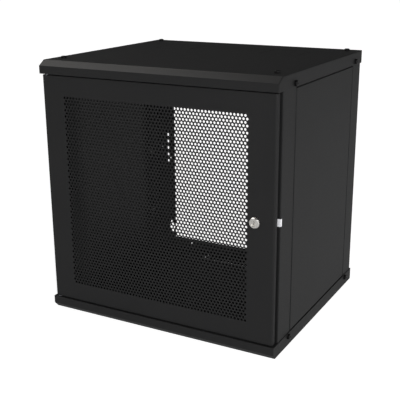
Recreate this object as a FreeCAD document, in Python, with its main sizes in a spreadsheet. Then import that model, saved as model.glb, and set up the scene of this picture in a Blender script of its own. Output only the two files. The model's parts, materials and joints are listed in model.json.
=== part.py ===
"""Wall-mounted 19-inch network cabinet, 12 units high, with a perforated front door.

Millimetres, +Z up, front towards -Y. The origin is the centre of the base tray's underside.
"""
import FreeCAD, Part
import Sketcher
import math
import os
import re

from FreeCAD import Rotation, Vector

DIMENSIONS = {
    # overall
    "width": 600, "depth": 520, "height": 617,
    "sheet": 1.5, "skin": 1.2, "clearance": 0.3, "overshoot": 1,
    # roof cover and base tray
    "rim": 30.5, "roof_slope_run": 18, "base_slope_run": 11, "slope_rise": 12, "lip_return": 22,
    "edge_round": 2, "knockout_side": 100, "knockout_x": 148, "knockout_y": 388, "slit": 1.2,
    "slit_tab": 8, "cable_plate_width": 254, "cable_plate_front": 463, "cable_plate_back": 503,
    "cable_slit": 3.6, "cable_slit_side": 5,
    "rear_hole_x": 195, "rear_hole_height": 17, "rear_hole_radius": 2.5,
    # corner posts, measured back from the front lip
    "front_post_start": 26, "front_post_end": 91.5, "front_post_face": 38, "front_post_return": 23.5,
    "rear_post_start": 458, "rear_post_end": 514, "rear_post_face": 52.6, "rear_post_return": 23.5,
    "post_round": 2.2,
    "wall_hole_x": 259, "wall_hole_height": 63, "wall_hole_radius": 9.5, "wall_slot_half": 4.5,
    "wall_slot_reach": 19, "cable_slot_x": 268, "cable_slot_tall": 88, "cable_slot_wide": 5,
    "flange_hole_x": 286, "flange_hole_radius": 3, "tie_hole_x": 260, "tie_hole_drop": 32,
    "tie_hole_radius": 2,
    # angle brackets inside the corners
    "corner_sheet": 3, "corner_arm": 34, "corner_inner": 255, "corner_margin": 4,
    # side panels and their clips
    "panel_start": 93.7, "panel_end": 453.6, "panel_fold": 12, "panel_gap": 2.4, "panel_inset": 0.6,
    "clip_wide": 8, "clip_deep": 16, "clip_tall": 16, "clip_sheet": 1.5, "clip_root": 4,
    "clip_low": 120, "clip_middle": 300, "clip_high": 480,
    # rack rails and the brackets that hold them
    "bracket_inner": 245, "bracket_front": 54, "bracket_back": 86, "bracket_tall": 30,
    "bracket_low": 42, "bracket_middle": 293.5, "bracket_high": 545, "bolt_front": 62, "bolt_back": 78,
    "rail_front": 50, "rail_side": 42, "rail_sheet": 2, "rail_inner": 225, "rail_low": 36,
    "rail_tall": 545, "rack_unit": 44.45, "rack_step": 15.875, "rack_hole": 9.5,
    "rack_column": 232.55, "rack_units": 12,
    # door
    "door_front": 4.3, "door_thick": 12.5, "door_half": 295, "door_gap": 2.5, "door_round": 4.2,
    "door_end_round": 1.6, "door_low_gap": 1.9,
    "hole_pitch": 8.34, "hole_radius": 2.85, "hole_columns": 56, "hole_rows": 64,
    "field_centre": -2.4, "field_low": 77, "field_border": 3,
    "stiffener_wide": 18, "stiffener_deep": 9, "stiffener_margin": 30, "stiffener_left": 245,
    "stiffener_right": 267,
    # hinges
    "hinge_x": 286, "hinge_y": 11, "pin_radius": 4, "pin_fit": 0.05, "pin_collar": 6,
    "block_wide": 19, "block_deep": 10.8, "block_tall": 16, "block_side": 6, "block_chamfer": 3,
    "leaf_hole": 4.8,
    "pin_low": 16, "pin_proud": 4, "nose_tall": 2, "nose_taper": 1.2, "pin_foot": 5.2, "foot_tall": 5,
    "lever_radius": 1.8, "lever_reach": 11, "knob_radius": 3, "knob_long": 7,
    "hinge_nut_tall": 6.5, "hinge_nut_corner": 7.5,
    "spring_wire": 0.4, "spring_radius": 4.8, "spring_turns": 9, "spring_length": 34, "spring_end": 0.7,
    # lock
    "lock_x": 250, "lock_z": 310, "collar_radius": 12, "collar_proud": 6.7, "collar_bevel": 1.6,
    "barrel_radius": 9, "barrel_back": 26.5, "plug_radius": 7, "plug_recess": 1.2, "plug_square": 4,
    "plug_end": 0.3, "keyway_half": 1, "keyway_reach": 5.5, "keyway_deep": 8,
    "lock_washer_tall": 1, "lock_nut_tall": 4, "lock_nut_corner": 13,
    "cam_front": 28.5, "cam_sheet": 2.5, "cam_wide": 14, "cam_reach": 24,
    "cam_head_radius": 6.2, "cam_head_tall": 2.2, "cam_screw_radius": 2, "cam_screw_long": 6,
    "keeper_tall": 16.5, "keeper_inner": 264, "keeper_outer": 299.8, "keeper_skin": 1.3,
    "keeper_wrap": 30, "keeper_hole": 272,
    "keeper_screw_radius": 1.5, "keeper_head_radius": 3.5, "keeper_head_tall": 1.8,
    # buffers and earth point
    "buffer_x": 276, "buffer_radius": 4.5, "buffer_height": 60,
    "earth_x": 200, "earth_y": 70, "earth_long": 22, "earth_washer_radius": 6.5,
    "earth_washer_tall": 1.2, "earth_nut_tall": 5, "earth_nut_corner": 5.8,
    # fasteners
    "side_screw_front": 83, "side_screw_back": 470, "side_screw_drop": 22.5, "side_screw_long": 9,
    "roof_screw_x": 270.5, "roof_screw_front": 56, "roof_screw_back": 490, "roof_screw_long": 6,
    "screw_radius": 3, "screw_head_radius": 6.5, "screw_head_tall": 5.5, "screw_hole": 3.4,
    "base_screw_low": 0.4, "base_head_tall": 2, "base_head_radius": 6,
    "bolt_long": 10, "bolt_head_radius": 5.5, "bolt_head_tall": 3, "nut_tall": 4, "nut_corner": 6,
}
NAMES = re.compile(r"\b(" + "|".join(sorted(DIMENSIONS, key=len, reverse=True)) + r")\b")
TURNS = {"x": Rotation(Vector(0, 1, 0), 90), "y": Rotation(Vector(1, 0, 0), -90), "z": Rotation()}
SIDES = {"left": -1, "right": 1}

document = FreeCAD.newDocument("network_cabinet")
sheet = document.addObject("Spreadsheet::Sheet", "Dimensions")
for row, (alias, value) in enumerate(DIMENSIONS.items(), start=1):
    sheet.set(f"A{row}", alias)
    sheet.set(f"B{row}", str(value))
    sheet.setAlias(f"B{row}", alias)
document.recompute()
pieces = {}


# ---- helpers: binding, primitives and features -------------------------------------------------

def bound(text):
    """The expression with each dimension read from the spreadsheet."""
    return NAMES.sub(r"Dimensions.\1", str(text))


def bind(thing, **expressions):
    for name, text in expressions.items():
        thing.setExpression(name, bound(text))


def place(thing, x, y, z):
    for axis, text in zip("xyz", (x, y, z)):
        thing.setExpression(f"Placement.Base.{axis}", bound(text))


def front(text):
    """A distance measured back from the front lip, as a Y position."""
    return f"(-depth / 2 + {text})"


def keep(label, thing):
    """Names a finished sub-part; the label is also its file's name."""
    thing.Label = label
    pieces[label] = thing
    return thing


def new_object(kind, owner):
    """A new object in the document, or as a feature of the body that owns it."""
    if owner:
        return owner.newObject(kind, "Feature")
    return document.addObject(kind, "Solid")


def box(x, y, z, kind="Part::Box", owner=None):
    """A block from pairs of low and high positions."""
    block = new_object(kind, owner)
    bind(block, Length=f"({x[1]}) - ({x[0]})", Width=f"({y[1]}) - ({y[0]})", Height=f"({z[1]}) - ({z[0]})")
    place(block, x[0], y[0], z[0])
    return block


def cylinder(radius, long, at, axis="z", kind="Part::Cylinder", owner=None):
    """A rod that starts at a point and runs along +axis."""
    rod = new_object(kind, owner)
    rod.Placement = FreeCAD.Placement(Vector(), TURNS[axis])
    bind(rod, Radius=radius, Height=long)
    place(rod, *at)
    return rod


def prism(radius, long, at, axis="z"):
    """A six-sided rod; radius is to its corners."""
    rod = document.addObject("Part::Prism", "Prism")
    rod.Polygon = 6
    rod.Placement = FreeCAD.Placement(Vector(), TURNS[axis])
    bind(rod, Circumradius=radius, Height=long)
    place(rod, *at)
    return rod


def fused(shapes):
    union = document.addObject("Part::MultiFuse", "Union")
    union.Shapes = shapes
    return union


def cut(base, *tools):
    rest = document.addObject("Part::Cut", "Rest")
    rest.Base = base
    rest.Tool = fused(list(tools)) if len(tools) > 1 else tools[0]
    return rest


def grouped(shapes):
    """Identical loose pieces that share one node."""
    group = document.addObject("Part::Compound", "Group")
    group.Links = shapes
    return group


def new_body(label):
    return keep(label, document.addObject("PartDesign::Body", label))


def sketch(body, role, outlines=(), circles=(), offset=None):
    """A fully dimensioned sketch of polygons and circles on one of the body's origin planes."""
    drawing = body.newObject("Sketcher::SketchObject", "Sketch")
    origin_plane = next(f for f in body.Origin.OriginFeatures if f.Role == role)
    drawing.AttachmentSupport = [(origin_plane, "")]
    drawing.MapMode = "FlatFace"
    if offset:
        drawing.setExpression("AttachmentOffset.Base.z", bound(offset))
    first = 0
    for points in outlines:
        count = len(points)
        rough = [Vector(math.cos(math.tau * i / count), math.sin(math.tau * i / count), 0)
                 for i in range(count + 1)]
        for i in range(count):
            drawing.addGeometry(Part.LineSegment(rough[i], rough[i + 1]), False)
        for i in range(count):
            after = first + (i + 1) % count
            drawing.addConstraint(Sketcher.Constraint("Coincident", first + i, 2, after, 1))
            pin_point(drawing, first + i, 1, points[i])
        first += count
    for centre_u, centre_v, radius in circles:
        drawing.addGeometry(Part.Circle(Vector(), Vector(0, 0, 1), 1), False)
        number = drawing.addConstraint(Sketcher.Constraint("Radius", first, 1.0))
        drawing.setExpression(f"Constraints[{number}]", bound(radius))
        pin_point(drawing, first, 3, (centre_u, centre_v))
        first += 1
    return drawing


def pin_point(drawing, element, end, position):
    """Fixes one end or centre of a sketch element from the sketch's origin."""
    for kind, text in zip(("DistanceX", "DistanceY"), position):
        number = drawing.addConstraint(Sketcher.Constraint(kind, -1, 1, element, end, 1.0))
        drawing.setExpression(f"Constraints[{number}]", bound(text))


def pad(body, drawing, length, symmetric=False, reverse=False):
    feature = body.newObject("PartDesign::Pad", "Pad")
    feature.Profile = drawing
    bind(feature, Length=length)
    feature.Midplane = symmetric
    feature.Reversed = reverse
    document.recompute()
    return feature


def pierce(body, drawing):
    """Cuts a sketch right through the body, both ways from its plane."""
    before = body.Shape.Volume
    feature = body.newObject("PartDesign::Pocket", "Pocket")
    feature.Profile = drawing
    feature.SideType = "Two sides"
    feature.Type = "ThroughAll"
    feature.Type2 = "ThroughAll"
    document.recompute()
    if body.Shape.Volume > before - 1e-3:
        raise RuntimeError(f"a pocket in {body.Label} cut nothing")
    return feature


def build_up(body, x, y, z):
    box(x, y, z, "PartDesign::AdditiveBox", body)


def drill(body, radius, long, at, axis):
    cylinder(radius, long, at, axis, "PartDesign::SubtractiveCylinder", body)


def hollow(body, base, normal):
    """Turns a block into folded sheet, open on the face that looks along normal."""
    document.recompute()
    open_faces = [f"Face{i}" for i, face in enumerate(base.Shape.Faces, start=1)
                  if face.Surface.TypeId == "Part::GeomPlane" and face.normalAt(0, 0).dot(normal) > 0.99]
    shell = body.newObject("PartDesign::Thickness", "Folded")
    shell.Base = (base, open_faces)
    shell.Reversed = True
    shell.Join = "Arc"
    return shell


def round_edges(body, base, radius, chosen):
    """Rounds the edges for which chosen(edge) is true."""
    document.recompute()
    rounding = body.newObject("PartDesign::Fillet", "Round")
    rounding.Base = (base, [f"Edge{i}" for i, edge in enumerate(base.Shape.Edges, start=1) if chosen(edge)])
    bind(rounding, Radius=radius)
    document.recompute()
    return rounding


def runs_along(edge, axis):
    ends = [vertex.Point for vertex in edge.Vertexes]
    return len(ends) == 2 and abs((ends[1] - ends[0]).normalize().dot(axis)) > 0.999


def screws(label, spots, axis, outward, length, head="screw_head", radius="screw_radius"):
    """Button-head screws with a hexagon socket, from the spots under their heads.

    outward is +1 or -1 along the axis; head begins the names of the head's two dimensions.
    """
    wide, tall = f"{head}_radius", f"{head}_tall"
    shifts = {1: ("0", f"-({length})", f"{tall} * 0.3"), -1: (f"-{tall}", "0", f"-{tall}")}[outward]
    made = []
    for at in spots:
        parts = []
        for kind, shift, size, long in (
                (cylinder, shifts[0], wide, tall),
                (cylinder, shifts[1], radius, length),
                (prism, shifts[2], f"{wide} * 0.42", f"{tall} * 0.7")):
            moved = [f"{text} + {shift}" if name == axis else text for name, text in zip("xyz", at)]
            parts.append(kind(size, long, moved, axis))
        rim = document.addObject("Part::Fillet", "Dome")
        rim.Base = parts[0]
        document.recompute()
        ends = {e: edge.CenterOfMass["xyz".index(axis)] * outward
                for e, edge in enumerate(parts[0].Shape.Edges, start=1) if edge.isClosed()}
        dome = DIMENSIONS[tall] * 0.4
        rim.Edges = [(max(ends, key=ends.get), dome, dome)]
        made.append(cut(fused([rim, parts[1]]), parts[2]))
    return keep(label, grouped(made))


def nuts(label, spots, axis, thick, hole, corner="nut_corner"):
    """Hexagon nuts whose low faces are at the given points."""
    made = []
    for at in spots:
        blank = prism(corner, thick, at, axis)
        made.append(cut(blank, cylinder(hole, thick, at, axis)))
    return keep(label, grouped(made))


# ---- roof and base -----------------------------------------------------------------------------

def slits(centre_x, low_y, high_y, half, gap, side_gap):
    """Four thin slots round a plate that stays joined to the sheet at its corners."""
    left, right = f"{centre_x} - {half}", f"{centre_x} + {half}"
    low, high = front(low_y), front(high_y)
    rectangles = [
        (f"{left} + slit_tab", f"{right} - slit_tab", low, f"{low} + {gap}"),
        (f"{left} + slit_tab", f"{right} - slit_tab", f"{high} - {gap}", high),
        (left, f"{left} + {side_gap}", f"{low} + slit_tab", f"{high} - slit_tab"),
        (f"{right} - {side_gap}", right, f"{low} + slit_tab", f"{high} - slit_tab"),
    ]
    return [[(a, c), (b, c), (b, d), (a, d)] for a, b, c, d in rectangles]


def corner_spots(x, y_front, y_back):
    return [(f"{side} * {x}", front(y)) for side in SIDES.values() for y in (y_front, y_back)]


def side_screw_holes(body, height):
    spots = [(front(y), height, "screw_hole") for y in ("side_screw_front", "side_screw_back")]
    pierce(body, sketch(body, "YZ_Plane", circles=spots))


def roof_cover():
    body = new_body("roof_cover")
    low, high = "height - rim", "height"
    outline = [(front("0"), low), (front("0"), f"{high} - slope_rise"), (front("roof_slope_run"), high),
               ("depth / 2", high), ("depth / 2", low)]
    block = pad(body, sketch(body, "YZ_Plane", [outline]), "width", symmetric=True)
    half = DIMENSIONS["width"] / 2
    rounded = round_edges(body, block, "edge_round", lambda edge: not runs_along(edge, Vector(1, 0, 0))
                          and abs(abs(edge.CenterOfMass.x) - half) < 1e-6
                          and edge.CenterOfMass.z > DIMENSIONS["height"] - DIMENSIONS["rim"] + 1)
    shell = hollow(body, rounded, Vector(0, 0, -1))
    bind(shell, Value="sheet")
    build_up(body, ("-width / 2 + sheet", "width / 2 - sheet"),
             (front("sheet"), front("sheet + lip_return")), (low, f"{low} + sheet"))
    document.recompute()
    plates = []
    for side in SIDES.values():
        plates += slits(f"{side} * knockout_x", "knockout_y - knockout_side / 2",
                        "knockout_y + knockout_side / 2", "knockout_side / 2", "slit", "slit")
    top_holes = [(x, y, "screw_hole") for x, y in corner_spots("roof_screw_x", "roof_screw_front",
                                                               "roof_screw_back")]
    pierce(body, sketch(body, "XY_Plane", plates, top_holes))
    drill(body, "pin_radius + pin_fit", "sheet + 2 * overshoot",
          ("-hinge_x", front("hinge_y"), f"{low} - overshoot"), "z")
    side_screw_holes(body, "height - side_screw_drop")


def base_tray():
    body = new_body("base_tray")
    outline = [(front("0"), "rim"), (front("0"), "slope_rise"), (front("base_slope_run"), "0"),
               ("depth / 2", "0"), ("depth / 2", "rim")]
    block = pad(body, sketch(body, "YZ_Plane", [outline]), "width", symmetric=True)
    half = DIMENSIONS["width"] / 2
    rounded = round_edges(body, block, "edge_round", lambda edge: not runs_along(edge, Vector(1, 0, 0))
                          and abs(abs(edge.CenterOfMass.x) - half) < 1e-6
                          and edge.CenterOfMass.z < DIMENSIONS["rim"] - 1)
    shell = hollow(body, rounded, Vector(0, 0, 1))
    bind(shell, Value="sheet")
    build_up(body, ("-width / 2 + sheet", "width / 2 - sheet"),
             (front("sheet"), front("sheet + lip_return")), ("rim - sheet", "rim"))
    document.recompute()
    plate = slits("0", "cable_plate_front", "cable_plate_back", "cable_plate_width / 2", "cable_slit",
                  "cable_slit_side")
    holes = [(x, y, "screw_hole") for x, y in corner_spots("roof_screw_x", "roof_screw_front",
                                                           "roof_screw_back")]
    pierce(body, sketch(body, "XY_Plane", plate, holes))
    drill(body, "pin_radius + pin_fit", "sheet + 2 * overshoot",
          ("-hinge_x", front("hinge_y"), "rim - sheet - overshoot"), "z")
    drill(body, "rear_hole_radius", "sheet + 2 * overshoot",
          ("-rear_hole_x", "depth / 2 - sheet - overshoot", "rear_hole_height"), "y")
    side_screw_holes(body, "side_screw_drop")


# ---- posts, bars and rails ---------------------------------------------------------------------

def post_blank(body, side, points):
    """A section folded at its outermost corner, which is rounded, between the base tray and the roof."""
    outline = [(f"{side} * ({x})", front(y)) for x, y in points]
    block = pad(body, sketch(body, "XY_Plane", [outline], offset="edge_round"), "height - 2 * edge_round")
    farthest = max(map(corner_reach, block.Shape.Edges))
    round_edges(body, block, "post_round", lambda edge: corner_reach(edge) > farthest - 1e-6)


def corner_reach(edge):
    return abs(edge.CenterOfMass.x) + abs(edge.CenterOfMass.y)


def front_post(name, side):
    body = new_body(f"front_post_{name}")
    outer, inner = "width / 2 - sheet", "width / 2 - front_post_face"
    start, end = "front_post_start", "front_post_end"
    post_blank(body, side, [
        (inner, start), (outer, start), (outer, end), (f"{outer} - front_post_return", end),
        (f"{outer} - front_post_return", f"{end} - sheet"), (f"{outer} - sheet", f"{end} - sheet"),
        (f"{outer} - sheet", f"{start} + sheet"), (inner, f"{start} + sheet")])
    spots = [(front("side_screw_front"), z, "screw_hole")
             for z in ("side_screw_drop", "height - side_screw_drop")]
    pierce(body, sketch(body, "YZ_Plane", circles=spots))
    if side > 0:
        screw = [("keeper_hole", "lock_z", "keeper_screw_radius")]
        pierce(body, sketch(body, "XZ_Plane", circles=screw))


def rear_post(name, side):
    body = new_body(f"rear_post_{name}")
    outer, inner = "width / 2 - sheet", "width / 2 - rear_post_face"
    start, end = "rear_post_start", "rear_post_end"
    post_blank(body, side, [
        (inner, end), (outer, end), (outer, start), (f"{outer} - rear_post_return", start),
        (f"{outer} - rear_post_return", f"{start} + sheet"), (f"{outer} - sheet", f"{start} + sheet"),
        (f"{outer} - sheet", f"{end} - sheet"), (inner, f"{end} - sheet")])
    spots = [(front("side_screw_back"), z, "screw_hole")
             for z in ("side_screw_drop", "height - side_screw_drop")]
    pierce(body, sketch(body, "YZ_Plane", circles=spots))
    middle = "height / 2"
    levels = ("wall_hole_height", "(height - wall_hole_height)")
    circles = [(f"{side} * wall_hole_x", z, "wall_hole_radius") for z in levels]
    circles.append((f"{side} * flange_hole_x", middle, "flange_hole_radius"))
    circles += [(f"{side} * tie_hole_x", f"{middle} {sign} tie_hole_drop", "tie_hole_radius")
                for sign in "+-"]
    tie_slot = rectangle(f"{side} * cable_slot_x", middle, "cable_slot_wide", "cable_slot_tall")
    pierce(body, sketch(body, "XZ_Plane", [tie_slot], circles))
    slots = [rectangle(f"{side} * wall_hole_x", z, "wall_slot_half * 2", "wall_slot_reach * 2")
             for z in levels]
    pierce(body, sketch(body, "XZ_Plane", slots))


def rectangle(centre_u, centre_v, wide, tall):
    left, right = f"{centre_u} - {wide} / 2", f"{centre_u} + {wide} / 2"
    low, high = f"{centre_v} - {tall} / 2", f"{centre_v} + {tall} / 2"
    return [(left, low), (right, low), (right, high), (left, high)]


BRACKET_LEVELS = ("bracket_low", "bracket_middle", "bracket_high")
RAIL_BOLTS = [(front(y), f"{z} + bracket_tall / 2") for y in ("bolt_front", "bolt_back")
              for z in BRACKET_LEVELS]


def rail_brackets(name, side):
    """Folded box brackets, open to the front, between a front post's web and its rack rail."""
    made = []
    near, far = "bracket_inner", "width / 2 - 2 * sheet"
    for low in BRACKET_LEVELS:
        block = box(across(side, near, far), (front("bracket_front"), front("bracket_back")),
                    (low, f"{low} + bracket_tall"))
        inside = box(across(side, f"{near} + sheet", f"{far} - sheet"),
                     (front("bracket_front - overshoot"), front("bracket_back - sheet")),
                     (f"{low} + sheet", f"{low} + bracket_tall - sheet"))
        holes = [cross_hole(side, near, y, z) for y, z in RAIL_BOLTS if z.startswith(low)]
        made.append(cut(block, inside, *holes))
    keep(f"rail_brackets_{name}", grouped(made))


def cross_hole(side, near, y, z):
    """The drill for a hole along X through a sheet whose inner face is at a distance from the middle."""
    low, high = across(side, f"{near} - corner_sheet - overshoot", f"{near} + corner_sheet + overshoot")
    return cylinder("screw_hole", f"({high}) - ({low})", (low, y, z), "x")


def rack_rail(name, side):
    """An L-shaped rail with square equipment holes, twelve units of three."""
    body = new_body(f"rack_rail_{name}")
    x_in, x_out, y_in = "rail_inner", "bracket_inner", "rail_front"
    points = [(x_in, y_in), (x_out, y_in), (x_out, f"{y_in} + rail_side"),
              (f"{x_out} - rail_sheet", f"{y_in} + rail_side"),
              (f"{x_out} - rail_sheet", f"{y_in} + rail_sheet"), (x_in, f"{y_in} + rail_sheet")]
    outline = [(f"{side} * ({x})", front(y)) for x, y in points]
    pad(body, sketch(body, "XY_Plane", [outline], offset="rail_low"), "rail_tall")
    pierce(body, sketch(body, "YZ_Plane", circles=[(y, z, "screw_hole") for y, z in RAIL_BOLTS]))
    first = "rail_low + (rail_tall - rack_units * rack_unit) / 2 + (rack_unit - 2 * rack_step) / 2"
    squares = [rectangle(f"{side} * rack_column", f"{first} + {i} * rack_step", "rack_hole", "rack_hole")
               for i in range(3)]
    pocket = pierce(body, sketch(body, "XZ_Plane", squares))
    units = body.newObject("PartDesign::LinearPattern", "Units")
    units.Originals = [pocket]
    units.Direction = (next(f for f in body.Origin.OriginFeatures if f.Role == "Z_Axis"), [""])
    bind(units, Length="(rack_units - 1) * rack_unit", Occurrences="rack_units")
    body.Tip = units


def corner_brackets(name, flat_low, arm_low, screw_z):
    """Folded angle brackets inside the post ends; each has a flat for the cover and an arm for the side."""
    made = []
    near = "width / 2 - 2 * sheet"
    for side in SIDES.values():
        for start, end, roof_y, side_y in (
                ("front_post_start + sheet + corner_margin", "front_post_end - sheet",
                 "roof_screw_front", "side_screw_front"),
                ("rear_post_start + sheet", "rear_post_end - sheet - corner_margin",
                 "roof_screw_back", "side_screw_back")):
            flat = box(across(side, "corner_inner", near), (front(start), front(end)),
                       (flat_low, f"{flat_low} + corner_sheet"))
            arm = box(across(side, f"{near} - corner_sheet", near), (front(start), front(end)),
                      (arm_low, f"{arm_low} + corner_arm"))
            cover_hole = cylinder("screw_hole", "corner_sheet + 2 * overshoot",
                                  (f"{side} * roof_screw_x", front(roof_y), f"{flat_low} - overshoot"), "z")
            made.append(cut(fused([flat, arm]), cover_hole, cross_hole(side, near, front(side_y), screw_z)))
    keep(f"corner_brackets_{name}", grouped(made))


def across(side, near, far):
    """Low and high X of something that lies between two distances from the middle plane."""
    return (near, far) if side > 0 else (f"-({far})", f"-({near})")


# ---- side panels -------------------------------------------------------------------------------

def side_panel(name, side):
    body = new_body(f"side_panel_{name}")
    outer = "width / 2 - panel_inset"
    outline = [(front("panel_start"), "rim + panel_gap"), (front("panel_end"), "rim + panel_gap"),
               (front("panel_end"), "height - rim - panel_gap"),
               (front("panel_start"), "height - rim - panel_gap")]
    inner_plane = f"{outer} - panel_fold" if side > 0 else f"-({outer})"
    block = pad(body, sketch(body, "YZ_Plane", [outline], offset=inner_plane), "panel_fold")
    edge_x = side * (DIMENSIONS["width"] / 2 - DIMENSIONS["panel_inset"])
    rounded = round_edges(body, block, "edge_round", lambda edge: abs(edge.CenterOfMass.x - edge_x) < 1e-6)
    shell = hollow(body, rounded, Vector(-side, 0, 0))
    bind(shell, Value="skin")


def side_panel_clips(name, side):
    """Spring clips on the panel's inner face, which snap between the posts' returns."""
    inner = "width / 2 - panel_inset - skin"
    made = []
    for y in ("panel_start + edge_round", "panel_end - edge_round - clip_wide"):
        for z in ("clip_low", "clip_middle", "clip_high"):
            leaf = box(across(side, f"{inner} - clip_deep", inner), (front(y), front(f"{y} + clip_wide")),
                       (z, f"{z} + clip_tall"))
            slot = box(across(side, f"{inner} - clip_deep - overshoot", f"{inner} - clip_root"),
                       (front(f"{y} + clip_sheet"), front(f"{y} + clip_wide - clip_sheet")),
                       (f"{z} - overshoot", f"{z} + clip_tall + overshoot"))
            made.append(cut(leaf, slot))
    keep(f"side_panel_clips_{name}", grouped(made))


# ---- door --------------------------------------------------------------------------------------

def field_size():
    """Width and height of the perforated sheet that fills the leaf's window."""
    wide = "((hole_columns - 0.5) * hole_pitch + 2 * hole_radius + 2 * field_border)"
    tall = "((hole_rows - 1) * hole_pitch * sqrt(3) / 2 + 2 * hole_radius + 2 * field_border)"
    return wide, tall


def door_leaf():
    """Folded leaf: front skin with four returns, a window for the perforated sheet and the lock hole."""
    body = new_body("door_leaf")
    low, high = "rim + door_low_gap", "height - rim - door_gap"
    outline = [("-door_half", low), ("door_half", low), ("door_half", high), ("-door_half", high)]
    block = pad(body, sketch(body, "XZ_Plane", [outline], offset=f"-{front('door_front')}"),
                "door_thick", reverse=True)
    face_y = -DIMENSIONS["depth"] / 2 + DIMENSIONS["door_front"]
    upright = round_edges(body, block, "door_round", lambda edge: runs_along(edge, Vector(0, 0, 1))
                          and abs(edge.CenterOfMass.y - face_y) < 1e-6)
    ends = round_edges(body, upright, "door_end_round", lambda edge: abs(edge.CenterOfMass.y - face_y) < 1e-6
                       and runs_along(edge, Vector(1, 0, 0)))
    shell = hollow(body, ends, Vector(0, 1, 0))
    bind(shell, Value="skin")
    document.recompute()
    wide, tall = field_size()
    window = rectangle("field_centre", f"(field_low - field_border + {tall} / 2)", wide, tall)
    pierce(body, sketch(body, "XZ_Plane", [window], [("lock_x", "lock_z", "barrel_radius + pin_fit")]))
    for z in (f"{low} - overshoot", f"{high} - skin - overshoot"):
        drill(body, "leaf_hole", "skin + 2 * overshoot", ("-hinge_x", front("hinge_y"), z), "z")


def door_perforated_sheet():
    """The round-hole field: staggered rows, made strip by strip and sewn into one solid.

    Each strip is two rows of holes. A face with a hundred holes is quick to test; one with thousands isn't.
    The top row starts at the left and the row below it half a pitch further right.
    """
    pitch, radius, border, thick = sheet.hole_pitch, sheet.hole_radius, sheet.field_border, sheet.skin
    columns, rows = int(sheet.hole_columns), int(sheet.hole_rows)
    step = pitch * math.sqrt(3) / 2
    left_hole = sheet.field_centre - (columns - 0.5) * pitch / 2
    left = left_hole - radius - border
    right = 2 * sheet.field_centre - left
    face_y = -sheet.depth / 2 + sheet.door_front
    lowest, first = sheet.field_low - border, sheet.field_low + radius
    highest = first + (rows - 1) * step + radius + border
    levels = [lowest] + [first + (row - 0.5) * step for row in range(2, rows, 2)] + [highest]
    faces = []
    for strip, (low, high) in enumerate(zip(levels, levels[1:])):
        corners = [Vector(x, face_y, z) for x, z in ((left, low), (right, low), (right, high), (left, high))]
        skin = Part.Face(Part.makePolygon(corners + corners[:1]))
        holes = []
        for row in (2 * strip, 2 * strip + 1):
            shift = pitch / 2 if (rows - row) % 2 == 0 else 0
            for column in range(columns):
                centre = Vector(left_hole + column * pitch + shift, face_y, first + row * step)
                holes.append(Part.Wire([Part.Circle(centre, Vector(0, 1, 0), radius).toShape()]))
        skin.cutHoles(holes)
        shared = [level for level in (low, high) if lowest < level < highest]
        faces += [face for face in skin.extrude(Vector(0, thick, 0)).Faces
                  if not any(lies_level(face, level) for level in shared)]
    shell = Part.makeShell(faces)
    shell.sewShape()
    solid = Part.makeSolid(shell)
    if solid.Volume < 0:
        solid.reverse()
    panel = document.addObject("Part::Feature", "PerforatedSheet")
    panel.Shape = solid
    keep("door_perforated_sheet", panel)


def lies_level(face, level):
    extent = face.BoundBox
    return extent.ZLength < 1e-6 and abs(extent.ZMin - level) < 1e-6


def door_stiffener(name, side):
    """A channel welded behind the leaf's margin."""
    body = new_body(f"door_stiffener_{name}")
    back = "door_front + skin"
    near = f"stiffener_{name}"
    far = f"{near} + stiffener_wide"
    points = [(near, back), (near, f"{back} + stiffener_deep"), (far, f"{back} + stiffener_deep"),
              (far, back), (f"{far} - skin", back), (f"{far} - skin", f"{back} + stiffener_deep - skin"),
              (f"{near} + skin", f"{back} + stiffener_deep - skin"), (f"{near} + skin", back)]
    outline = [(f"{side} * ({x})", front(y)) for x, y in points]
    pad(body, sketch(body, "XY_Plane", [outline], offset="rim + stiffener_margin"),
        "height - 2 * rim - 2 * stiffener_margin")


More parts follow.
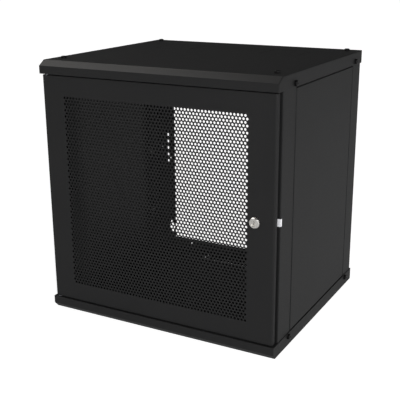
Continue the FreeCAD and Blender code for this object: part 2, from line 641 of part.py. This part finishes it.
def hinges():
    """Pin hinges on the left edge: a fixed lower pin and an upper one that a spring pushes up."""
    x, y = "-hinge_x", front("hinge_y")
    door_low, door_high = "rim + door_low_gap", "height - rim - door_gap"
    block_top = f"{door_high} - edge_round"
    left, right = f"{x} - block_side", f"{x} - block_side + block_wide"
    near, far = front("door_front + skin"), front("door_front + skin + block_deep")
    outline = [(f"{left} + block_chamfer", near), (right, near), (right, far), (left, far),
               (left, f"{near} + block_chamfer")]
    for name, low in (("lower", f"{door_low} + edge_round"), ("upper", f"{block_top} - block_tall")):
        block = new_body(f"{name}_hinge_block")
        drawing = sketch(block, "XY_Plane", [outline], [(x, y, "pin_radius + pin_fit")], offset=low)
        pad(block, drawing, "block_tall")
    shaft = cylinder("pin_radius", f"{door_low} + block_tall - pin_low", (x, y, "pin_low"))
    collar = cylinder("pin_collar", "door_low_gap - clearance", (x, y, "rim"))
    keep("lower_hinge_pin", fused([shaft, collar]))
    nuts("lower_hinge_nut", [(x, y, "rim - sheet - hinge_nut_tall")], "z", "hinge_nut_tall", "pin_radius",
         "hinge_nut_corner")
    top = "height - rim + pin_proud"
    bottom = f"{block_top} - block_tall - spring_length"
    stem = cylinder("pin_radius", f"{top} - ({bottom}) - nose_tall", (x, y, bottom))
    nose = document.addObject("Part::Cone", "Nose")
    bind(nose, Radius1="pin_radius", Radius2="pin_radius - nose_taper", Height="nose_tall")
    place(nose, x, y, f"{top} - nose_tall")
    foot = cylinder("pin_foot", "foot_tall", (x, y, f"{bottom} - foot_tall"))
    lever = cylinder("lever_radius", "lever_reach", (x, y, f"{bottom} - foot_tall / 2"), "x")
    knob = cylinder("knob_radius", "knob_long", (f"{x} + lever_reach", y, f"{bottom} - foot_tall / 2"), "x")
    keep("upper_hinge_pin", fused([stem, nose, foot, lever, knob]))
    coil = document.addObject("Part::Helix", "Coil")
    bind(coil, Radius="spring_radius", Height="spring_length - 2 * spring_end",
         Pitch="(spring_length - 2 * spring_end) / spring_turns")
    place(coil, x, y, f"{bottom} + spring_end")
    wire = document.addObject("Part::Circle", "Wire")
    wire.Placement = FreeCAD.Placement(Vector(), TURNS["y"])
    bind(wire, Radius="spring_wire")
    place(wire, f"{x} + spring_radius", y, f"{bottom} + spring_end")
    spring = document.addObject("Part::Sweep", "Spring")
    spring.Sections = [wire]
    spring.Spine = (coil, [])
    spring.Solid = True
    spring.Frenet = True
    keep("hinge_pin_spring", spring)


# ---- lock --------------------------------------------------------------------------------------

def lock():
    """Cam lock: a fixed housing in the leaf, and a keyed plug that carries the cam."""
    x, z = "lock_x", "lock_z"
    proud = front("door_front - collar_proud")
    cam_low, cam_high = front("cam_front"), front("cam_front + cam_sheet")
    bevel = document.addObject("Part::Cone", "Bevel")
    bevel.Placement = FreeCAD.Placement(Vector(), TURNS["y"])
    bind(bevel, Radius1="collar_radius - collar_bevel", Radius2="collar_radius", Height="collar_bevel")
    place(bevel, x, proud, z)
    ring = cylinder("collar_radius", "collar_proud - collar_bevel", (x, f"{proud} + collar_bevel", z), "y")
    barrel = cylinder("barrel_radius", "barrel_back - door_front", (x, front("door_front"), z), "y")
    bore = cylinder("plug_radius + pin_fit", "barrel_back + 2 * collar_proud",
                    (x, f"{proud} - overshoot", z), "y")
    keep("lock_housing", cut(fused([bevel, ring, barrel]), bore))
    behind = front("door_front + skin")
    washer = cut(cylinder("collar_radius", "lock_washer_tall", (x, behind, z), "y"),
                 cylinder("barrel_radius", "lock_washer_tall", (x, behind, z), "y"))
    keep("lock_washer", washer)
    nuts("lock_nut", [(x, f"{behind} + lock_washer_tall", z)], "y", "lock_nut_tall", "barrel_radius",
         "lock_nut_corner")
    plug = cylinder("plug_radius", "barrel_back + collar_proud - door_front + plug_end - plug_recess",
                    (x, f"{proud} + plug_recess", z), "y")
    tail = box((f"{x} - plug_square", f"{x} + plug_square"), (front("barrel_back - overshoot"), cam_high),
               (f"{z} - plug_square", f"{z} + plug_square"))
    keyway = box((f"{x} - keyway_half", f"{x} + keyway_half"),
                 (f"{proud} - overshoot", f"{proud} + keyway_deep"),
                 (f"{z} - keyway_reach", f"{z} + keyway_reach"))
    screw_bore = cylinder("cam_screw_radius", "cam_screw_long", (x, f"{cam_high} - cam_screw_long", z), "y")
    keep("lock_plug", cut(fused([plug, tail]), keyway, screw_bore))
    blade = box((f"{x} - cam_wide / 2", f"{x} + cam_wide / 2"), (cam_low, cam_high), (f"{z} - cam_reach", z))
    hub = cylinder("cam_wide / 2", "cam_sheet", (x, cam_low, z), "y")
    square = box((f"{x} - plug_square", f"{x} + plug_square"),
                 (f"{cam_low} - overshoot", f"{cam_high} + overshoot"),
                 (f"{z} - plug_square", f"{z} + plug_square"))
    keep("lock_cam", cut(fused([blade, hub]), square))
    screws("cam_screw", [(x, cam_high, z)], "y", 1, "cam_screw_long", "cam_head",
           "cam_screw_radius")


# ---- small fittings ----------------------------------------------------------------------------

def keeper():
    """Moulded keeper on the right front post: a strip on its face, wrapped round the corner.

    The cam turns behind the post's face and draws it against the strip.
    """
    face = front("front_post_start")
    skin = front("front_post_start - sheet")
    tall = ("lock_z - keeper_tall / 2", "lock_z + keeper_tall / 2")
    strip = box(("keeper_inner", "keeper_outer"), (skin, face), tall)
    wrap = box(("keeper_outer - keeper_skin", "keeper_outer"), (face, front("keeper_wrap")), tall)
    hole = cylinder("keeper_screw_radius", "sheet", ("keeper_hole", skin, "lock_z"), "y")
    keep("lock_keeper", cut(fused([strip, wrap]), hole))
    screws("keeper_screw", [("keeper_hole", skin, "lock_z")], "y", -1, "2 * sheet", "keeper_head",
           "keeper_screw_radius")


def door_buffers():
    """Rubber buttons on the right front post; the closed door stops just short of them."""
    tall = "front_post_start - door_front - door_thick - clearance"
    made = [cylinder("buffer_radius", tall, ("buffer_x", front(f"front_post_start - ({tall})"), z), "y")
            for z in ("buffer_height", "height - buffer_height")]
    keep("door_buffers", grouped(made))


def earth_point():
    """Earth stud with its washer and nut on the base tray's floor."""
    x, y = "-earth_x", front("earth_y")
    keep("earth_stud", cylinder("screw_radius", "earth_long", (x, y, "sheet")))
    keep("earth_washer", cut(cylinder("earth_washer_radius", "earth_washer_tall", (x, y, "sheet")),
                             cylinder("screw_radius", "earth_washer_tall", (x, y, "sheet"))))
    nuts("earth_nut", [(x, y, "sheet + earth_washer_tall")], "z", "earth_nut_tall", "screw_radius",
         "earth_nut_corner")


def fasteners():
    for name, side in SIDES.items():
        spots = [(f"{side} * width / 2", front(y), z) for y in ("side_screw_front", "side_screw_back")
                 for z in ("side_screw_drop", "height - side_screw_drop")]
        screws(f"side_screws_{name}", spots, "x", side, "side_screw_long")
        spots = [(f"{side} * (bracket_inner - rail_sheet)", y, z) for y, z in RAIL_BOLTS]
        screws(f"rail_bolts_{name}", spots, "x", -side, "bolt_long", "bolt_head")
        near, _ = across(side, "bracket_inner + sheet", "bracket_inner + sheet + nut_tall")
        nuts(f"rail_nuts_{name}", [(near, y, z) for y, z in RAIL_BOLTS], "x", "nut_tall", "screw_radius")
    corners = corner_spots("roof_screw_x", "roof_screw_front", "roof_screw_back")
    screws("roof_screws", [(x, y, "height") for x, y in corners], "z", 1, "roof_screw_long")
    base = []
    for x, y in corners:
        head_low = "sheet + corner_sheet"
        shank = cylinder("screw_radius", f"{head_low} - base_screw_low", (x, y, "base_screw_low"))
        head = cylinder("base_head_radius", "base_head_tall", (x, y, head_low))
        base.append(fused([shank, head]))
    keep("base_screws", grouped(base))


# ---- assembly and export -----------------------------------------------------------------------

roof_cover()
base_tray()
for name, side in SIDES.items():
    front_post(name, side)
    rear_post(name, side)
    rail_brackets(name, side)
    rack_rail(name, side)
    side_panel(name, side)
    side_panel_clips(name, side)
    door_stiffener(name, side)
corner_brackets("bottom", "sheet", "sheet", "side_screw_drop")
corner_brackets("top", "height - sheet - corner_sheet", "height - sheet - corner_arm",
                "height - side_screw_drop")
door_leaf()
door_perforated_sheet()
hinges()
lock()
keeper()
door_buffers()
earth_point()
fasteners()
document.recompute()

for thing in document.Objects:
    if {"Invalid", "Error"} & set(thing.State):
        raise RuntimeError(f"{thing.Name} ({thing.Label}) failed: {thing.State}")
os.makedirs("parts", exist_ok=True)
for label, piece in pieces.items():
    shape = piece.Shape
    if shape.isNull() or not shape.isValid() or not shape.Solids:
        raise RuntimeError(f"{label} has no valid solid")
    shape.exportStep(f"parts/{label}.step")
    extent = shape.BoundBox
    print(f"{label}: {len(shape.Solids)} solid(s), {shape.Volume / 1000:.1f} cm3,",
          f"x {extent.XMin:.1f}..{extent.XMax:.1f}, y {extent.YMin:.1f}..{extent.YMax:.1f},",
          f"z {extent.ZMin:.1f}..{extent.ZMax:.1f}")
print(f"{len(pieces)} sub-parts")
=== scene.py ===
"""Looks for a wall-mounted network cabinet: black powder coat, a round-hole door and a plated cam lock."""

import json
import math

import bpy
from mathutils import Matrix, Vector


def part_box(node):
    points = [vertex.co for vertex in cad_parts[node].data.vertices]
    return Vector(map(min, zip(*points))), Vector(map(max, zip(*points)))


MM = 0.001
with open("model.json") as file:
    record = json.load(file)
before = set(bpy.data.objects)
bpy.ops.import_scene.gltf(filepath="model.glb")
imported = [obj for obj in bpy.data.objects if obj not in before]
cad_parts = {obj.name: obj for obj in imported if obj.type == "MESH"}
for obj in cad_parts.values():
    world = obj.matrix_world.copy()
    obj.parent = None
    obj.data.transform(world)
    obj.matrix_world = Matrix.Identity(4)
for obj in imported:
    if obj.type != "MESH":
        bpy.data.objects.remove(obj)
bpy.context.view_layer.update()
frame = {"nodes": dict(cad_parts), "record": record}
nodes = frame["nodes"]
slot_of = {part["node"]: part["material_slot"] for part in frame["record"]["subparts"]}

scene = bpy.context.scene
scene.view_settings.view_transform = "Standard"
scene.view_settings.look = "None"


# ---- camera ------------------------------------------------------------------------------------

CAMERA_AT = Vector((0.8990, -1.6635, 0.8412))
CAMERA_YAW = math.radians(28.385)      # turned left of +Y
CAMERA_DROP = math.radians(17.252)     # looking down
CAMERA_ROLL = math.radians(-0.241)
CAMERA_LENS = 70.33                    # the lens and the sensor's width are in millimetres
CAMERA_SENSOR = 36
CAMERA_SHIFT = (-0.01997, -0.00097)    # across and up, in sensor widths


def make_camera():
    """The photograph's view."""
    ahead = Vector((-math.sin(CAMERA_YAW), math.cos(CAMERA_YAW), 0))
    side = Vector((math.cos(CAMERA_YAW), math.sin(CAMERA_YAW), 0))
    forward = math.cos(CAMERA_DROP) * ahead - Vector((0, 0, math.sin(CAMERA_DROP)))
    lifted = math.sin(CAMERA_DROP) * ahead + Vector((0, 0, math.cos(CAMERA_DROP)))
    right = math.cos(CAMERA_ROLL) * side + math.sin(CAMERA_ROLL) * lifted
    up = -math.sin(CAMERA_ROLL) * side + math.cos(CAMERA_ROLL) * lifted
    data = bpy.data.cameras.new("camera")
    data.lens = CAMERA_LENS
    data.sensor_width = CAMERA_SENSOR
    data.shift_x, data.shift_y = CAMERA_SHIFT
    camera = bpy.data.objects.new("camera", data)
    scene.collection.objects.link(camera)
    turn = Matrix((right, up, -forward)).transposed().to_4x4()
    camera.matrix_world = Matrix.Translation(CAMERA_AT) @ turn
    scene.camera = camera


# ---- light and floor ---------------------------------------------------------------------------

MIDDLE = (0, 0, 0.3)                   # about half way up the cabinet
ROOF = (0, 0, 0.6)                     # just below its top
ROOM_TOP = 0.7                         # height on the sky's unit sphere where the overhead strength starts
SKY_SHOWN = 1.3                        # above 1, because the background's own colour is a light grey
FLOOR_REACH = 8.0
FLOOR_PALE = 0.5


def ramp(tree, value, low, high, start=0.0, end=1.0):
    """A value's stretch from start to end, mapped onto low to high and held there outside it."""
    made = tree.nodes.new("ShaderNodeMapRange")
    tree.links.new(value, made.inputs["Value"])
    for name, number in (("From Min", start), ("From Max", end), ("To Min", low), ("To Max", high)):
        made.inputs[name].default_value = number
    return made.outputs["Result"]


def area_light(name, at, target, size, power, tint=(1, 1, 1), gloss_only=False):
    """A rectangular light turned to a target; gloss_only leaves it out of the diffuse light."""
    data = bpy.data.lights.new(name, "AREA")
    data.shape = "RECTANGLE"
    data.size, data.size_y = size
    data.energy = power
    data.color = tint
    light = bpy.data.objects.new(name, data)
    scene.collection.objects.link(light)
    light.location = at
    light.rotation_mode = "QUATERNION"
    light.rotation_quaternion = (Vector(target) - Vector(at)).to_track_quat("-Z", "Y")
    light.visible_diffuse = not gloss_only


def make_world(room, mirrored):
    """White where the camera looks past the cabinet, one room for diffuse light and another for gloss.

    room and mirrored are each the strength at the horizon and overhead.
    """
    world = bpy.data.worlds.new("studio")
    scene.world = world
    world.use_nodes = True
    tree = world.node_tree
    tree.nodes.clear()
    direction = tree.nodes.new("ShaderNodeTexCoord")
    height = tree.nodes.new("ShaderNodeSeparateXYZ")
    tree.links.new(direction.outputs["Generated"], height.inputs["Vector"])

    def glow(low, high):
        background = tree.nodes.new("ShaderNodeBackground")
        strength = ramp(tree, height.outputs["Z"], low, high, end=ROOM_TOP)
        tree.links.new(strength, background.inputs["Strength"])
        return background.outputs[0]

    ray = tree.nodes.new("ShaderNodeLightPath")
    shown = glow(*room)
    for strengths, rays in ((mirrored, "Is Glossy Ray"), ((SKY_SHOWN, SKY_SHOWN), "Is Camera Ray")):
        mix = tree.nodes.new("ShaderNodeMixShader")
        tree.links.new(ray.outputs[rays], mix.inputs["Fac"])
        tree.links.new(shown, mix.inputs[1])
        tree.links.new(glow(*strengths), mix.inputs[2])
        shown = mix.outputs[0]
    output = tree.nodes.new("ShaderNodeOutputWorld")
    tree.links.new(shown, output.inputs["Surface"])


def make_floor(shown, bounce):
    """A plain pale floor with a faint shadow: its own glow to the camera, and another as a reflector."""
    mesh = bpy.data.meshes.new("floor")
    corners = [(across * FLOOR_REACH, along * FLOOR_REACH, 0)
               for across, along in ((-1, -1), (1, -1), (1, 1), (-1, 1))]
    mesh.from_pydata(corners, [], [(0, 1, 2, 3)])
    floor = bpy.data.objects.new("floor", mesh)
    scene.collection.objects.link(floor)
    material = bpy.data.materials.new("floor")
    material.use_nodes = True
    tree = material.node_tree
    tree.nodes.clear()
    matt = tree.nodes.new("ShaderNodeBsdfDiffuse")
    matt.inputs["Color"].default_value = (FLOOR_PALE, FLOOR_PALE, FLOOR_PALE, 1)
    ray = tree.nodes.new("ShaderNodeLightPath")
    glow = tree.nodes.new("ShaderNodeEmission")
    tree.links.new(ramp(tree, ray.outputs["Is Camera Ray"], bounce, shown), glow.inputs["Strength"])
    both = tree.nodes.new("ShaderNodeAddShader")
    tree.links.new(matt.outputs[0], both.inputs[0])
    tree.links.new(glow.outputs[0], both.inputs[1])
    output = tree.nodes.new("ShaderNodeOutputMaterial")
    tree.links.new(both.outputs[0], output.inputs["Surface"])
    mesh.materials.append(material)


# ---- materials ---------------------------------------------------------------------------------

NOISE_MIDDLE = (0.3, 0.7)              # the stretch that most of a noise's values fall in
EDGE_TO_FLAT = (0.75, 0.995)           # the bevelled and true normals' dot product, on an edge and on a flat
HIGHLIGHT_AND_WEAR_EDGE = 0.7 * MM                   # how far in from a fold the painted edge highlight reaches, partly also a thinner, worn coat
COAT_FOLD = 1.2 * MM                   # how far the coat rounds an edge
SHEET_FOLD = 0.4 * MM                  # the same around the holes, which are close together
METAL_FOLD = 0.3 * MM
MOULDED_FOLD = 0.4 * MM


class Shader:
    """A Principled material with short calls for the nodes that every finish here uses."""

    def __init__(self, name, metallic=0.0, specular=0.5):
        self.material = bpy.data.materials.new(name)
        self.material.use_nodes = True
        self.tree = self.material.node_tree
        self.shader = self.tree.nodes["Principled BSDF"]
        self.shader.inputs["Metallic"].default_value = metallic
        self.shader.inputs["Specular IOR Level"].default_value = specular
        self.place = self.node("ShaderNodeTexCoord").outputs["Object"]

    def node(self, kind, **settings):
        made = self.tree.nodes.new(kind)
        for name, value in settings.items():
            setattr(made, name, value)
        return made

    def link(self, start, end):
        self.tree.links.new(start, end)

    def noise(self, scale, detail=2.0, stretch=None):
        """Noise over object space; scale is in features per metre."""
        made = self.node("ShaderNodeTexNoise")
        made.inputs["Scale"].default_value = scale
        made.inputs["Detail"].default_value = detail
        source = self.place
        if stretch:
            squeeze = self.node("ShaderNodeMapping")
            squeeze.inputs["Scale"].default_value = stretch
            self.link(source, squeeze.inputs["Vector"])
            source = squeeze.outputs["Vector"]
        self.link(source, made.inputs["Vector"])
        return made.outputs["Fac"]

    def blend(self, factor, first, second):
        made = self.node("ShaderNodeMix", data_type="RGBA")
        self.link(factor, made.inputs["Factor"])
        for socket, colour in ((6, first), (7, second)):
            if isinstance(colour, tuple):
                made.inputs[socket].default_value = (*colour, 1)
            else:
                self.link(colour, made.inputs[socket])
        return made.outputs[2]

    def mottle(self, noise, stretch, first, second):
        """Patches of two colours, the second where the noise is past its stretch."""
        return self.blend(ramp(self.tree, noise, 0, 1, *stretch), first, second)

    def multiply(self, first, second):
        made = self.node("ShaderNodeMath", operation="MULTIPLY")
        self.link(first, made.inputs[0])
        self.link(second, made.inputs[1])
        return made.outputs[0]

    def edges(self, radius):
        """1 along sharp edges within radius, 0 on flats, from the bevelled normal."""
        soft = self.node("ShaderNodeBevel", samples=4)
        soft.inputs["Radius"].default_value = radius
        true = self.node("ShaderNodeNewGeometry")
        dot = self.node("ShaderNodeVectorMath", operation="DOT_PRODUCT")
        self.link(soft.outputs["Normal"], dot.inputs[0])
        self.link(true.outputs["Normal"], dot.inputs[1])
        return ramp(self.tree, dot.outputs["Value"], 1.0, 0.0, *EDGE_TO_FLAT)

    def paint(self, colour):
        self.link(colour, self.shader.inputs["Base Color"])

    def roughen(self, noise, low, high):
        self.link(ramp(self.tree, noise, low, high, *NOISE_MIDDLE), self.shader.inputs["Roughness"])

    def relief(self, height, distance, strength, fold=None):
        """Bumps up to a distance high, over a normal that rounds the edges within fold."""
        bump = self.node("ShaderNodeBump")
        bump.inputs["Distance"].default_value = distance
        bump.inputs["Strength"].default_value = strength
        self.link(height, bump.inputs["Height"])
        if fold:
            bevel = self.node("ShaderNodeBevel", samples=4)
            bevel.inputs["Radius"].default_value = fold
            self.link(bevel.outputs["Normal"], bump.inputs["Normal"])
        self.link(bump.outputs["Normal"], self.shader.inputs["Normal"])


def powder_coat(name="black_powder_coat", fold=COAT_FOLD):
    """Fine-textured black polyester powder: a faint orange peel, and a painted highlight on the folds,
    partly wear.
    """
    coat = Shader(name, specular=0.26)
    cloud = coat.noise(9, detail=3.0)
    mottled = coat.mottle(cloud, NOISE_MIDDLE, (0.0127, 0.0127, 0.0132), (0.0142, 0.0142, 0.0145))
    patchy = ramp(coat.tree, coat.noise(160, detail=4.0), 0.1, 0.6, start=0.35, end=0.7)
    # painted highlight: the coat's colour turns paler along the folds, in patches, partly standing for wear
    edge_highlight_and_wear = coat.multiply(coat.edges(HIGHLIGHT_AND_WEAR_EDGE), patchy)
    coat.paint(coat.blend(edge_highlight_and_wear, mottled, (0.029, 0.029, 0.030)))
    coat.roughen(coat.noise(420), 0.47, 0.54)
    coat.relief(coat.noise(1500, detail=3.0), distance=0.06 * MM, strength=0.2, fold=fold)
    return coat.material


def zinc_plate():
    """Bright zinc: bluish, with faint rolling streaks and spangle."""
    zinc = Shader("zinc_plate", metallic=1.0)
    spangle = zinc.noise(240, detail=3.0)
    zinc.paint(zinc.mottle(spangle, (0.35, 0.65), (0.66, 0.69, 0.75), (0.80, 0.81, 0.85)))
    streaks = zinc.noise(900, stretch=(1, 1, 0.08))
    zinc.roughen(streaks, 0.24, 0.40)
    zinc.relief(streaks, distance=0.02 * MM, strength=0.5, fold=METAL_FOLD)
    return zinc.material


def satin_nickel():
    """Turned and plated zinc casting: warm grey with concentric tool marks about the lock's axis."""
    nickel = Shader("satin_nickel", metallic=1.0)
    wear = nickel.noise(500, detail=4.0)
    nickel.paint(nickel.mottle(wear, (0.4, 0.7), (0.93, 0.91, 0.87), (0.82, 0.80, 0.75)))
    low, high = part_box("lock_housing")
    centre = (low + high) / 2
    offset = nickel.node("ShaderNodeMapping")
    offset.inputs["Location"].default_value = (-centre.x, 0, -centre.z)
    nickel.link(nickel.place, offset.inputs["Vector"])
    rings = nickel.node("ShaderNodeTexWave", wave_type="RINGS", rings_direction="Y")
    rings.inputs["Scale"].default_value = 900
    rings.inputs["Distortion"].default_value = 1.5
    nickel.link(offset.outputs["Vector"], rings.inputs["Vector"])
    nickel.roughen(wear, 0.22, 0.32)
    nickel.relief(rings.outputs["Fac"], distance=0.01 * MM, strength=0.4, fold=METAL_FOLD)
    return nickel.material


def black_oxide():
    """Blackened screw steel, darker and a little glossier than the coat."""
    oxide = Shader("black_oxide_steel", specular=0.23)
    smut = oxide.noise(700, detail=3.0)
    oxide.paint(oxide.mottle(smut, (0.35, 0.7), (0.0035, 0.0035, 0.004), (0.007, 0.0065, 0.0065)))
    oxide.roughen(smut, 0.26, 0.42)
    oxide.relief(smut, distance=0.02 * MM, strength=0.5, fold=METAL_FOLD)
    return oxide.material


def buffer_rubber():
    """Matt black rubber with a little dust."""
    rubber = Shader("buffer_rubber", specular=0.16)
    dust = rubber.noise(260, detail=3.0)
    rubber.paint(rubber.mottle(dust, (0.45, 0.75), (0.011, 0.011, 0.011), (0.022, 0.0215, 0.021)))
    rubber.roughen(dust, 0.78, 0.92)
    rubber.relief(rubber.noise(1400), distance=0.04 * MM, strength=0.6, fold=MOULDED_FOLD)
    return rubber.material


def spring_steel():
    """Plain tempered steel in two greys."""
    steel = Shader("spring_steel", metallic=1.0)
    temper = steel.noise(320, detail=3.0)
    steel.paint(steel.mottle(temper, (0.35, 0.7), (0.46, 0.46, 0.47), (0.34, 0.33, 0.33)))
    steel.roughen(temper, 0.28, 0.46)
    steel.relief(temper, distance=0.02 * MM, strength=0.4)
    return steel.material


def white_nylon():
    """Moulded natural-white nylon: faintly cool, with a soft moulded sheen."""
    nylon = Shader("white_nylon")
    flow = nylon.noise(180)
    nylon.paint(nylon.mottle(flow, (0.35, 0.7), (0.94, 0.94, 0.97), (0.90, 0.90, 0.94)))
    nylon.roughen(flow, 0.40, 0.52)
    nylon.relief(nylon.noise(1100), distance=0.02 * MM, strength=0.4, fold=MOULDED_FOLD)
    return nylon.material


def finish_nodes():
    """Give each node its slot's finish; the perforated sheet has its own coat, rounded less at the holes."""
    finishes = {
        "black_powder_coat": powder_coat(), "zinc_plate": zinc_plate(), "satin_nickel": satin_nickel(),
        "black_oxide_steel": black_oxide(), "buffer_rubber": buffer_rubber(),
        "spring_steel": spring_steel(), "white_nylon": white_nylon(),
    }
    finish_of = {name: finishes[slot_of[name]] for name in nodes}
    finish_of["door_perforated_sheet"] = powder_coat("perforated_powder_coat", fold=SHEET_FOLD)
    for name, node in nodes.items():
        node.data.materials.clear()
        node.data.materials.append(finish_of[name])


make_camera()
make_world(room=(3.0, 0.0), mirrored=(0.05, 0.05))
make_floor(shown=0.85, bounce=0.2)
area_light("right", at=(2.8, -0.6, 0.9), target=MIDDLE, size=(1.6, 1.6), power=13)
area_light("key", at=(1.5, -2.2, 1.5), target=MIDDLE, size=(1.4, 1.4), power=20.6)
area_light("left_above", at=(-1.8, -0.6, 2.8), target=ROOF, size=(2.4, 2.0), power=53,
           tint=(1.0, 0.975, 0.94), gloss_only=True)
finish_nodes()
